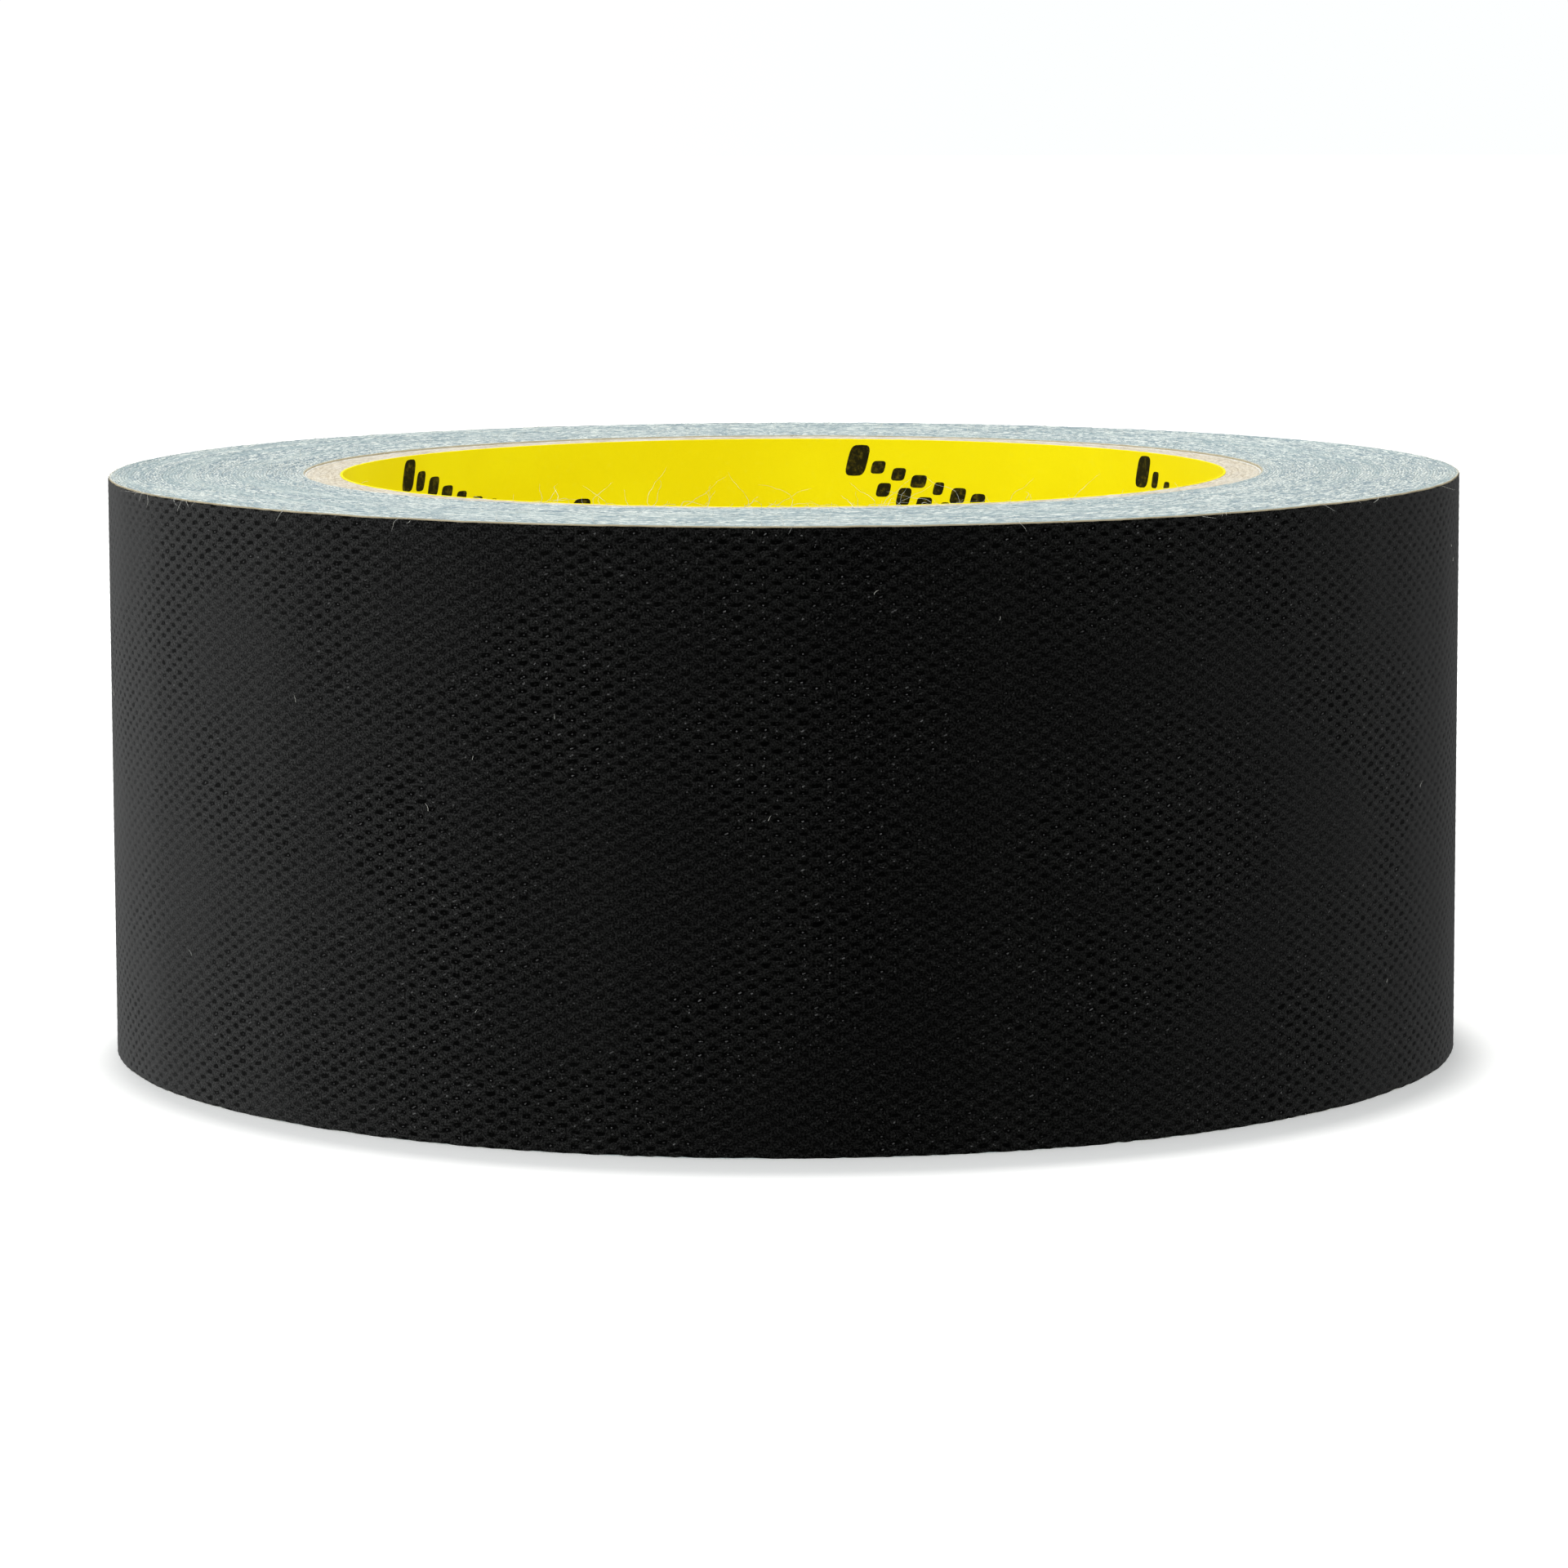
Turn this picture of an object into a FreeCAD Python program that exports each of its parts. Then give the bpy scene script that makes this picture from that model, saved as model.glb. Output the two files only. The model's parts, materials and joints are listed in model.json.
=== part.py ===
import FreeCAD, Part
import Sketcher
import os

# A roll of woven-cloth tape on a spiral-wound paperboard core, lying flat.
#
# Millimetres, +Z up. The origin is the middle of the roll's underside, so the core's axis
# is the Z axis. Seen from above, the tape is wound anticlockwise and its free end is at the
# back, where Y is above 0.
#
# The tape is a laminate: adhesive inside, woven cloth, plastic film outside. Its spiral is
# made of half turns. Those over the back are centred a quarter of the tape's thickness
# towards -X, and those over the front as far towards +X, so each half turn is half a
# thickness larger than the one before and meets it in the plane Y = 0.
#
# The turns under the last one are stuck together into one mass. The last turn is built as
# its three layers, and its loose end, the tail, as short segments. They peel away from the
# roll one after another, about hinge lines in the film's outer surface.

SIZES = (
    ("tape_width", 50.0, "axial width of the tape"),
    ("film", 0.08, "thickness of the plastic film on the outside of the tape"),
    ("cloth", 0.12, "thickness of the woven cloth"),
    ("adhesive", 0.07, "thickness of the adhesive on the inside of the tape"),
    ("turns", 63.0, "number of turns of tape on the core"),
    ("bore", 38.25, "radius of the hole through the core, 3 inch nominal"),
    ("core_length", 49.6, "axial length of the core, a little less than the tape's width"),
    ("liner", 0.2, "thickness of the printed paper that lines the hole"),
    ("ply", 0.58, "thickness of one ply of board"),
    ("plies", 5.0, "number of plies of board"),
    ("wrap", 0.2, "thickness of the paper round the outside of the core"),
    ("seam_gap", 0.3, "axial width of the butt seam between the edges of a board strip"),
    ("seam_lead", 148.0, "axial advance of a board strip in one turn"),
    ("seam_margin", 0.1, "how far the seam's cutter stands out on both sides of the ply"),
    ("seam_run", 2.0, "how far the seam's cutter starts below and ends above the core"),
    ("tail_end", 155.0, "angle of the tape's free end, from +X towards +Y"),
    ("start_gap", 3.0, "angle of the empty space beside the inner end of the tape"),
    ("tail_segments", 5.0, "number of segments in the tail"),
    ("segment_angle", 12.0, "angle that one segment of the tail covers"),
    ("tail_lift", 0.05, "clearance between the loose tail and the turn under it"),
)

THICKNESS = "(sizes.film + sizes.cloth + sizes.adhesive)"
FIRST_PLY_RADIUS = "(sizes.bore + sizes.liner)"
WRAP_RADIUS = f"({FIRST_PLY_RADIUS} + sizes.plies * sizes.ply)"
CORE_RADIUS = f"({WRAP_RADIUS} + sizes.wrap)"
MASS_RADIUS = f"({CORE_RADIUS} + (sizes.turns - 1) * {THICKNESS})"
BACK_CENTRE = f"(-{THICKNESS} / 4)"
FRONT_CENTRE = f"({THICKNESS} / 4)"
TAIL_START = "(sizes.tail_end - sizes.tail_segments * sizes.segment_angle)"

# name of the layer, and where it starts and ends above the tape's inner surface
LAYERS = (
    ("adhesive", "0", "sizes.adhesive"),
    ("cloth", "sizes.adhesive", "(sizes.adhesive + sizes.cloth)"),
    ("film", "(sizes.adhesive + sizes.cloth)", THICKNESS),
)

UP = FreeCAD.Vector(0, 0, 1)
ANY_SIZE = 10.0  # a length that an expression then replaces

doc = FreeCAD.newDocument("tape_roll")
nodes = []


def make_sheet():
    """The driving dimensions, one named cell each."""
    sheet = doc.addObject("Spreadsheet::Sheet", "sizes")
    for row, (alias, value, meaning) in enumerate(SIZES, start=1):
        sheet.set(f"A{row}", meaning)
        sheet.set(f"B{row}", str(value))
        sheet.setAlias(f"B{row}", alias)
    doc.recompute()
    return sheet


def keep(thing, label):
    """Name a finished piece and put it on the list of those to be written."""
    thing.Label = label
    nodes.append(thing)


# ---- the core: flat rings of paper and board, padded from sketches ----


def origin_feature(body, role):
    """One of a body's own origin planes or axes."""
    return next(f for f in body.Origin.OriginFeatures if f.Role == role)


def new_sketch(body, name, plane):
    """An empty sketch on one of the body's origin planes."""
    sketch = body.newObject("Sketcher::SketchObject", name)
    sketch.AttachmentSupport = [(origin_feature(body, plane), "")]
    sketch.MapMode = "FlatFace"
    return sketch


def bind(sketch, name, constraint, expression):
    """Add a named dimension to a sketch and bind it to an expression."""
    number = sketch.addConstraint(constraint)
    sketch.renameConstraint(number, name)
    sketch.setExpression(f"Constraints.{name}", expression)


def add_circle(sketch, name, radius):
    """A circle about the core's axis."""
    circle = sketch.addGeometry(Part.Circle(FreeCAD.Vector(), UP, ANY_SIZE), False)
    sketch.addConstraint(Sketcher.Constraint("Coincident", circle, 3, -1, 1))
    bind(sketch, name, Sketcher.Constraint("Radius", circle, ANY_SIZE), radius)


def core_ring(label, inner, outer, turned="0"):
    """A tube of the core's length, centred in the tape's width and turned about its axis."""
    body = doc.addObject("PartDesign::Body", label)
    ring = new_sketch(body, "ring", "XY_Plane")
    add_circle(ring, "inner_radius", inner)
    add_circle(ring, "outer_radius", outer)
    pad = body.newObject("PartDesign::Pad", "length")
    pad.Profile = ring
    pad.setExpression("Length", "sizes.core_length")
    body.Placement = FreeCAD.Placement(FreeCAD.Vector(), FreeCAD.Rotation(UP, ANY_SIZE))
    body.setExpression("Placement.Base.z", "(sizes.tape_width - sizes.core_length) / 2")
    body.setExpression("Placement.Rotation.Angle", turned)
    keep(body, label)
    return body


def cut_seam(body, inner):
    """Cut the helical butt seam of a ply, as a small rectangle swept round the core's axis."""
    slot = new_sketch(body, "slot", "XZ_Plane")
    corners = [FreeCAD.Vector(x * ANY_SIZE, -y * ANY_SIZE) for x, y in ((1, 1), (2, 1), (2, 2), (1, 2))]
    for here, there in zip(corners, corners[1:] + corners[:1]):
        slot.addGeometry(Part.LineSegment(here, there), False)
    for side in range(4):
        slot.addConstraint(Sketcher.Constraint("Coincident", side, 2, (side + 1) % 4, 1))
    for side, direction in enumerate(("Horizontal", "Vertical", "Horizontal", "Vertical")):
        slot.addConstraint(Sketcher.Constraint(direction, side))
    bind(slot, "from_axis", Sketcher.Constraint("DistanceX", -1, 1, 0, 1, ANY_SIZE),
         f"{inner} - sizes.seam_margin")
    bind(slot, "depth", Sketcher.Constraint("DistanceX", 0, 1, 0, 2, ANY_SIZE),
         "sizes.ply + 2 * sizes.seam_margin")
    bind(slot, "height", Sketcher.Constraint("DistanceY", 1, 2, 1, 1, ANY_SIZE), "sizes.seam_gap")
    bind(slot, "below", Sketcher.Constraint("DistanceY", 0, 1, -1, 1, ANY_SIZE), "sizes.seam_run")
    doc.recompute()
    seam = body.newObject("PartDesign::SubtractiveHelix", "seam")
    seam.Profile = slot
    seam.ReferenceAxis = (origin_feature(body, "Z_Axis"), [""])
    seam.Mode = "pitch-height-angle"
    seam.setExpression("Pitch", "sizes.seam_lead")
    seam.setExpression("Height", "sizes.core_length + 2 * sizes.seam_run")
    body.Tip = seam


def make_core(sheet):
    """Printed liner, five plies of board with staggered seams, and the outer wrap."""
    core_ring("core_liner", "sizes.bore", FIRST_PLY_RADIUS)
    for number in range(int(sheet.plies)):
        inner = f"({FIRST_PLY_RADIUS} + {number} * sizes.ply)"
        outer = f"({inner} + sizes.ply)"
        ply = core_ring(f"core_ply_{number + 1}", inner, outer, f"{number} * 360 / sizes.plies")
        cut_seam(ply, inner)
    core_ring("core_wrap", WRAP_RADIUS, CORE_RADIUS)


# ---- the tape: slices of cylinders about the centres of the spiral's half turns ----


def slice_of_cylinder(name, start, span, centre, radius):
    """A pie slice as high as the tape is wide, from the start angle over the span."""
    pie = doc.addObject("Part::Cylinder", name)
    pie.Placement = FreeCAD.Placement(FreeCAD.Vector(), FreeCAD.Rotation(UP, ANY_SIZE))
    pie.setExpression("Radius", radius)
    pie.setExpression("Height", "sizes.tape_width")
    pie.setExpression("Angle", span)
    pie.setExpression("Placement.Base.x", centre)
    pie.setExpression("Placement.Rotation.Angle", start)
    return pie


def cut(name, base, tool):
    """The base without the tool."""
    result = doc.addObject("Part::Cut", name)
    result.Base = base
    result.Tool = tool
    return result


def fuse(name, pieces):
    """Several touching pieces as one solid, without the faces between them."""
    result = doc.addObject("Part::MultiFuse", name)
    result.Shapes = pieces
    result.Refine = True
    return result


def layer_slice(name, start, span, centre, inner, outer):
    """A curved strip of one layer of the tape."""
    outside = slice_of_cylinder(f"{name}_outside", start, span, centre, outer)
    inside = slice_of_cylinder(f"{name}_inside", "0", "360", centre, inner)
    return cut(name, outside, inside)


def turn_arcs(last_angle):
    """One turn from the angle of the free end to last_angle: start, span, centre and radius.

    The radius is that of the surface under the last turn, which is the wound mass's own.
    """
    return (
        ("sizes.tail_end", "180 - sizes.tail_end", BACK_CENTRE, f"({MASS_RADIUS} - {THICKNESS})"),
        ("180", "180", FRONT_CENTRE, f"({MASS_RADIUS} - {THICKNESS} / 2)"),
        ("0", last_angle, BACK_CENTRE, MASS_RADIUS),
    )


def make_wound_mass():
    """Every turn but the last.

    The turns are a whole number, so the tape's inner end is at the same angle as its free
    end. The second turn bridges a small empty space beside it.
    """
    slices = [
        slice_of_cylinder(f"mass_{number}", *arc)
        for number, arc in enumerate(turn_arcs("sizes.tail_end"))
    ]
    room = slice_of_cylinder("core_room", "0", "360", "0", CORE_RADIUS)
    gap_start = "sizes.tail_end - sizes.start_gap"
    gap_radius = f"{CORE_RADIUS} + {THICKNESS}"
    gap = slice_of_cylinder("start_gap", gap_start, "sizes.start_gap", "0", gap_radius)
    ring = cut("ring", fuse("disc", slices), room)
    keep(cut("wound_mass", ring, gap), "wound_tape")


def make_last_turn():
    """The three layers of the last turn, up to where the tail starts."""
    for layer, low, high in LAYERS:
        slices = [
            layer_slice(f"last_{layer}_{number}", start, span, centre,
                        f"{radius} + {low}", f"{radius} + {high}")
            for number, (start, span, centre, radius) in enumerate(turn_arcs(TAIL_START))
        ]
        keep(fuse(f"last_turn_{layer}", slices), f"outer_turn_{layer}")


def make_tail(sheet):
    """The loose end of the tape, as segments of three layers, the last at the free end."""
    under = f"({MASS_RADIUS} + sizes.tail_lift)"
    for number in range(int(sheet.tail_segments)):
        start = f"{TAIL_START} + {number} * sizes.segment_angle"
        for layer, low, high in LAYERS:
            label = f"tail_{number + 1}_{layer}"
            keep(layer_slice(label, start, "sizes.segment_angle", BACK_CENTRE,
                             f"{under} + {low}", f"{under} + {high}"), label)


# ---- checks and files ----


def check_document():
    """Stop if any object failed, or any piece isn't one valid solid."""
    failed = [thing.Name for thing in doc.Objects if {"Invalid", "Error"} & set(thing.State)]
    if failed:
        raise RuntimeError(f"these objects failed: {failed}")
    for piece in nodes:
        shape = piece.Shape
        if shape.isNull() or not shape.isValid() or len(shape.Solids) != 1:
            raise RuntimeError(f"{piece.Label} isn't one valid solid")


def check_seams():
    """Stop if a ply's helix cut nothing, because such a cut shows no error."""
    for body in doc.findObjects("PartDesign::Body"):
        uncut = next(f for f in body.Group if f.isDerivedFrom("PartDesign::Pad"))
        has_seam = body.Tip.isDerivedFrom("PartDesign::SubtractiveHelix")
        if has_seam and body.Shape.Volume >= uncut.Shape.Volume:
            raise RuntimeError(f"the seam of {body.Label} cut nothing")


def write_parts():
    """One STEP file for each piece, under its own name."""
    os.makedirs("parts", exist_ok=True)
    for piece in nodes:
        piece.Shape.exportStep(f"parts/{piece.Label}.step")
        print(f"{piece.Label}: {piece.Shape.Volume:.1f} mm3")


sizes = make_sheet()
make_core(sizes)
make_wound_mass()
make_last_turn()
make_tail(sizes)
doc.recompute()
check_document()
check_seams()
write_parts()
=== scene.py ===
import json
import math
import random

import bpy
from mathutils import Matrix, Vector, noise


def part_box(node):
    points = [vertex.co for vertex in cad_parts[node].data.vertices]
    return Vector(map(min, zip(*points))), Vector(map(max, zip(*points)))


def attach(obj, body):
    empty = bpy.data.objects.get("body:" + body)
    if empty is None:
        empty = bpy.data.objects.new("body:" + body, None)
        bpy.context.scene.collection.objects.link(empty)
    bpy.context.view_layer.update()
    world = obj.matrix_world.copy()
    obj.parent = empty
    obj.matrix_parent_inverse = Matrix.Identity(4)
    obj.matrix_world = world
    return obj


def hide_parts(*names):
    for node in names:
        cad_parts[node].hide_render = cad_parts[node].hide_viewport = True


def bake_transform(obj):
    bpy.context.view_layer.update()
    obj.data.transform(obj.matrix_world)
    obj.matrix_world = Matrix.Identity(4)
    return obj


# The looks of a roll of black cloth tape on a printed paperboard core, around its CAD frame.
#
# Metres and radians. Angles go round the roll's axis from +X towards +Y. A tape angle goes
# on growing by a full circle a turn, and is TAIL_END at the tape's free end.

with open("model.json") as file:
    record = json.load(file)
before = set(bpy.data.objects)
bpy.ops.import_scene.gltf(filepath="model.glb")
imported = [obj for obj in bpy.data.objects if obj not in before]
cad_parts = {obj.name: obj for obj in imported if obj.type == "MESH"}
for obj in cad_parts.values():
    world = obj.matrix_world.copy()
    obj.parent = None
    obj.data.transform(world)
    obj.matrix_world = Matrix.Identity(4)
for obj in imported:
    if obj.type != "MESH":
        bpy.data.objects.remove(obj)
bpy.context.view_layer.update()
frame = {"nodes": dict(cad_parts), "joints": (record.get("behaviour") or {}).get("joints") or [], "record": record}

# ---- sizes ----

MM = 0.001
FULL = math.tau

FILM = 0.08 * MM
CLOTH = 0.12 * MM
ADHESIVE = 0.07 * MM
TAPE = FILM + CLOTH + ADHESIVE
TURNS = 63
TAIL_LIFT = 0.05 * MM

BOTTOM, TOP = (corner.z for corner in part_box("outer_turn_film"))
LAST_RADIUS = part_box("outer_turn_film")[1].x + TAPE / 4
CORE_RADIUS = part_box("core_wrap")[1].x
CORE_BOTTOM, CORE_TOP = (corner.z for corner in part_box("core_liner"))
BORE = next(m for m in frame["record"]["mounts"] if m["name"] == "core_bore")["dims"]["r_mm"] * MM

HINGES = [
    math.atan2(joint["pos_m"][1], joint["pos_m"][0] + TAPE / 4)
    for joint in frame["joints"]
]
SEGMENT = HINGES[1] - HINGES[0]
TAIL_ROOT = HINGES[0] - SEGMENT / 2
TAIL_END = HINGES[-1] + SEGMENT

WEFTS_PER_SEGMENT = 12
WEFT = SEGMENT / WEFTS_PER_SEGMENT
COLUMN = WEFT / 2
WARPS = 91
WARP = (TOP - BOTTOM) / WARPS
ROWS = 2 * WARPS
RELIEF = 0.024 * MM
FILM_SHRINKAGE = 0.12 * MM
FILM_LENGTHS = 3
FILM_GAP_COLUMNS = 2
TURN_STEPS = 264
GROOVE_DEPTH = 0.05 * MM
LINER_SEAM_LEAD = 0.118

# waves round the circumference and how high each is: the winding isn't quite round
LUMPS = ((7, 0.05 * MM), (19, 0.025 * MM), (37, 0.014 * MM))


def place(radius, angle, height):
    """A point from its distance to the axis, its angle and its height."""
    return Vector((radius * math.cos(angle), radius * math.sin(angle), height))


def smooth_step(low, high, value):
    """0 up to low, 1 from high, and smooth between them."""
    share = min(1.0, max(0.0, (value - low) / (high - low)))
    return share * share * (3 - 2 * share)


def wander(position, seed):
    """Smooth random values between about -1 and 1 along a line."""
    return noise.noise(Vector((position, seed, 0.37 * seed)))


def lump(angle):
    """Unevenness of the winding on the outside of the roll."""
    return sum(size * math.cos(waves * angle + 2 * waves) for waves, size in LUMPS)


def film_radius(angle):
    """Distance of the film's outer surface from the axis at a tape angle.

    Without its lumps the spiral is made of half circles, about two centres in turn.
    """
    half_turns, rest = divmod(angle, math.pi)
    spiral = LAST_RADIUS + half_turns * TAPE / 2 - TAPE / 4 * math.cos(rest)
    depth = (spiral - CORE_RADIUS) / (LAST_RADIUS - CORE_RADIUS)
    lift = TAIL_LIFT * smooth_step(TAIL_ROOT, TAIL_ROOT + SEGMENT, angle)
    return spiral + lump(angle) * depth + lift


def edge_drop(angle, seed):
    """How far the tape's cut edge lies inside its full width, at a tape angle."""
    slow = wander(angle * 0.8, seed)
    fast = wander(angle * 14, seed + 5)
    fine = wander(angle * 75, seed + 9)
    return (0.09 + 0.06 * slow + 0.03 * fast + 0.03 * fine) * MM


def ragged_foot(angle):
    """How far the tape's ragged lower edge is from the roll's foot, at a tape angle."""
    rough = wander(angle * 60, 12.0) + 0.6 * wander(angle * 220, 13.0)
    return max(0.0, 0.04 + 0.06 * rough) * MM


# ---- meshes ----


def new_piece(name, vertices, faces, materials):
    """A smooth-shaded mesh object whose creases of over 40 degrees stay sharp."""
    mesh = bpy.data.meshes.new(name)
    mesh.from_pydata(vertices, [], faces)
    mesh.shade_smooth()
    mesh.set_sharp_from_angle(angle=math.radians(40))
    for material in materials:
        mesh.materials.append(material)
    piece = bpy.data.objects.new(name, mesh)
    bpy.context.scene.collection.objects.link(piece)
    return piece


def set_attribute(piece, name, values):
    """Give each vertex three numbers that its material can read."""
    attribute = piece.data.attributes.new(name, "FLOAT_VECTOR", "POINT")
    attribute.data.foreach_set("vector", [number for value in values for number in value])


# ---- materials ----


class Nodes:
    """A node tree and short calls that add and link its nodes."""

    def __init__(self, tree):
        self.tree = tree

    def put(self, socket, value):
        """Link another socket to this one, or set its value."""
        if isinstance(value, bpy.types.NodeSocket):
            self.tree.links.new(value, socket)
        else:
            socket.default_value = value

    def add(self, kind, inputs=None, **settings):
        """A node with its settings and inputs."""
        node = self.tree.nodes.new("ShaderNode" + kind)
        for name, value in settings.items():
            setattr(node, name, value)
        for name, value in (inputs or {}).items():
            self.put(node.inputs[name], value)
        return node

    def calculate(self, operation, first, second=0.0):
        """A sum, product or other calculation on one or two numbers."""
        return self.add("Math", {0: first, 1: second}, operation=operation).outputs[0]

    def spread(self, value, low, high, to_low=0.0, to_high=1.0):
        """The value's range from low to high, spread smoothly over another range."""
        node = self.add("MapRange", {
            "Value": value, "From Min": low, "From Max": high, "To Min": to_low, "To Max": to_high,
        }, interpolation_type="SMOOTHSTEP")
        return node.outputs["Result"]

    def mix(self, share, first, second):
        """A colour between two colours."""
        node = self.add("Mix", {0: share, 6: first, 7: second}, data_type="RGBA")
        return node.outputs[2]

    def vector(self, first, second, third):
        """Three numbers as a vector."""
        return self.add("CombineXYZ", {0: first, 1: second, 2: third}).outputs[0]

    def clouds(self, vector, scale, detail=2.0, roughness=0.5):
        """Soft random values about 0.5."""
        return self.add("TexNoise", {
            "Vector": vector, "Scale": scale, "Detail": detail, "Roughness": roughness,
        }).outputs[0]

    def specks(self, vector, scale, size):
        """1 in small spots scattered through space and 0 between them."""
        node = self.add("TexVoronoi", {"Vector": vector, "Scale": scale})
        return self.spread(node.outputs["Distance"], size / 2, size, 1.0, 0.0)

    def bump(self, height, distance):
        """A surface normal that follows a height, which distance scales."""
        return self.add("Bump", {"Height": height, "Distance": distance}).outputs[0]

    def position(self):
        """The point's place at rest, as X, Y and Z."""
        place_node = self.add("TexCoord").outputs["Object"]
        split = self.add("SeparateXYZ", {0: place_node})
        return split.outputs[0], split.outputs[1], split.outputs[2]

    def round_axis(self, along, across, up=0.0):
        """Coordinates that run round the roll's axis, with along, across and up as scales."""
        x, y, z = self.position()
        x_square = self.calculate("MULTIPLY", x, x)
        y_square = self.calculate("MULTIPLY", y, y)
        square = self.calculate("ADD", x_square, y_square)
        radius = self.calculate("SQRT", square)
        cosine = self.calculate("MULTIPLY", self.calculate("DIVIDE", x, radius), along)
        sine = self.calculate("MULTIPLY", self.calculate("DIVIDE", y, radius), along)
        outwards = self.calculate("MULTIPLY", radius, across)
        climb = self.calculate("MULTIPLY", z, up)
        return self.vector(cosine, sine, self.calculate("ADD", outwards, climb))


class Shader(Nodes):
    """A material with one surface shader."""

    def __init__(self, name):
        self.material = bpy.data.materials.new(name)
        self.material.use_nodes = True
        super().__init__(self.material.node_tree)
        self.surface = self.tree.nodes["Principled BSDF"]

    def set(self, **inputs):
        """Set or link inputs of the surface shader, their names without spaces."""
        names = {socket.name.replace(" ", ""): socket for socket in self.surface.inputs}
        for name, value in inputs.items():
            self.put(names[name], value)


def weave_on_film(shader, grain, patches, weft, warp):
    """Where the weave under the film dips, rises and catches the light, each from 0 to 1. The dips also carry
    painted shade, and the glints are painted highlights.

    weft and warp count the yarns. Dips and rises take turns along each warp yarn.
    """
    across = shader.calculate("SINE", shader.calculate("MULTIPLY", weft, math.pi))
    along = shader.calculate("COSINE", shader.calculate("MULTIPLY", warp, math.pi))
    egg_crate = shader.calculate("MULTIPLY", across, along)
    on_warp = shader.calculate("ABSOLUTE", along)
    smooth_patches = shader.spread(patches, 0.3, 0.7, 0.4, 1.0)
    uneven = shader.calculate("MULTIPLY", smooth_patches, shader.spread(grain, 0.3, 0.5))
    hollows = shader.spread(egg_crate, -0.8, 0.15, 1.0, 0.0)
    # The dips, where the weave sinks under the film. Besides the bump, they paint the film black and its gloss
    # dimmer there: painted shade.
    dips_and_painted_shade = shader.calculate("MULTIPLY", shader.spread(on_warp, 0.2, 0.8), hollows)
    dips_and_painted_shade = shader.calculate("MULTIPLY", dips_and_painted_shade, uneven)
    knuckles = shader.spread(egg_crate, 0.0, 0.9)

    # Painted highlights: small bright dots at the weave's crossings, in clusters, which go into the film's colour.
    crossing = shader.vector(shader.calculate("FLOOR", weft), shader.calculate("ROUND", warp), 0.0)
    chance = shader.add("TexWhiteNoise", {"Vector": crossing}).outputs["Value"]
    on_weft = shader.calculate("ABSOLUTE", across)
    middle = shader.calculate("MULTIPLY", on_weft, shader.calculate("SQRT", on_warp))
    bright = shader.calculate("POWER", chance, 2.5)
    glints = shader.calculate("MULTIPLY", shader.spread(middle, 0.96, 0.995), bright)
    glints = shader.calculate("MULTIPLY", glints, shader.spread(patches, 0.35, 0.62, 0.1, 1.2))
    return dips_and_painted_shade, knuckles, glints


def film_material():
    """Black plastic film with the cloth's plain weave pressed into it, with painted shade in the weave's dips and
    painted light on its knuckles and glints.
    """
    shader = Shader("film")
    weave = shader.add("Attribute", attribute_name="weave")
    split = shader.add("SeparateXYZ", {0: weave.outputs["Vector"]})
    weft, warp = split.outputs[0], split.outputs[1]
    flat = shader.vector(weft, shader.calculate("MULTIPLY", warp, WARP / (WEFT * LAST_RADIUS)), 0.0)
    patches = shader.clouds(flat, 0.07, 4.0)
    grain = shader.clouds(flat, 6.0, 4.0, 0.8)
    wobble = shader.calculate("SUBTRACT", shader.clouds(flat, 1.1, 3.0, 0.6), 0.5)
    sway = shader.calculate("ADD", weft, wobble)
    rise = shader.calculate("ADD", warp, wobble)
    dips_and_painted_shade, knuckles, glints = weave_on_film(shader, grain, patches, sway, rise)

    height = shader.calculate("SUBTRACT", shader.calculate("MULTIPLY", knuckles, 0.4), dips_and_painted_shade)
    height = shader.calculate("ADD", height, shader.calculate("MULTIPLY", grain, 1.2))

    bands = shader.clouds(shader.vector(weft, 0.0, 0.0), 0.09, 2.0)
    haze = shader.spread(shader.calculate("ADD", patches, bands), 0.8, 1.25)
    black = shader.mix(haze, (0.0004, 0.0005, 0.0003, 1.0), (0.0018, 0.0020, 0.0015, 1.0))
    # Lighter grain, fuller on the raised knuckles. The grain is the film's own random tone; the knuckles' extra
    # lightness is painted light.
    raised = shader.spread(knuckles, 0.0, 1.0, 0.4, 1.0)
    grain_and_knuckle_light = shader.calculate("MULTIPLY", shader.spread(grain, 0.47, 0.62), raised)
    black = shader.mix(grain_and_knuckle_light, black, (0.0115, 0.0120, 0.0095, 1.0))
    # Painted shade: the weave's dips are made black.
    black = shader.mix(dips_and_painted_shade, black, (0.0, 0.0, 0.0, 1.0))
    # Specks of dust, together with the weave's glints, which are painted highlights.
    light = shader.calculate("MAXIMUM", shader.specks(flat, 1.3, 0.06), glints)
    # Less gloss in the weave's dips is painted shade; the grain varies the gloss too.
    shine = shader.calculate(
        "MULTIPLY", shader.spread(dips_and_painted_shade, 0.0, 0.9, 0.72, 0.08), shader.spread(grain, 0.42, 0.6, 0.15, 1.5))
    shader.set(
        BaseColor=shader.mix(light, black, (0.1, 0.1, 0.1, 1.0)),
        Roughness=shader.spread(grain, 0.4, 0.6, 0.28, 0.42),
        IOR=1.48,
        SpecularIORLevel=shine,
        Normal=shader.bump(height, 0.035 * MM),
    )
    return shader.material


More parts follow.
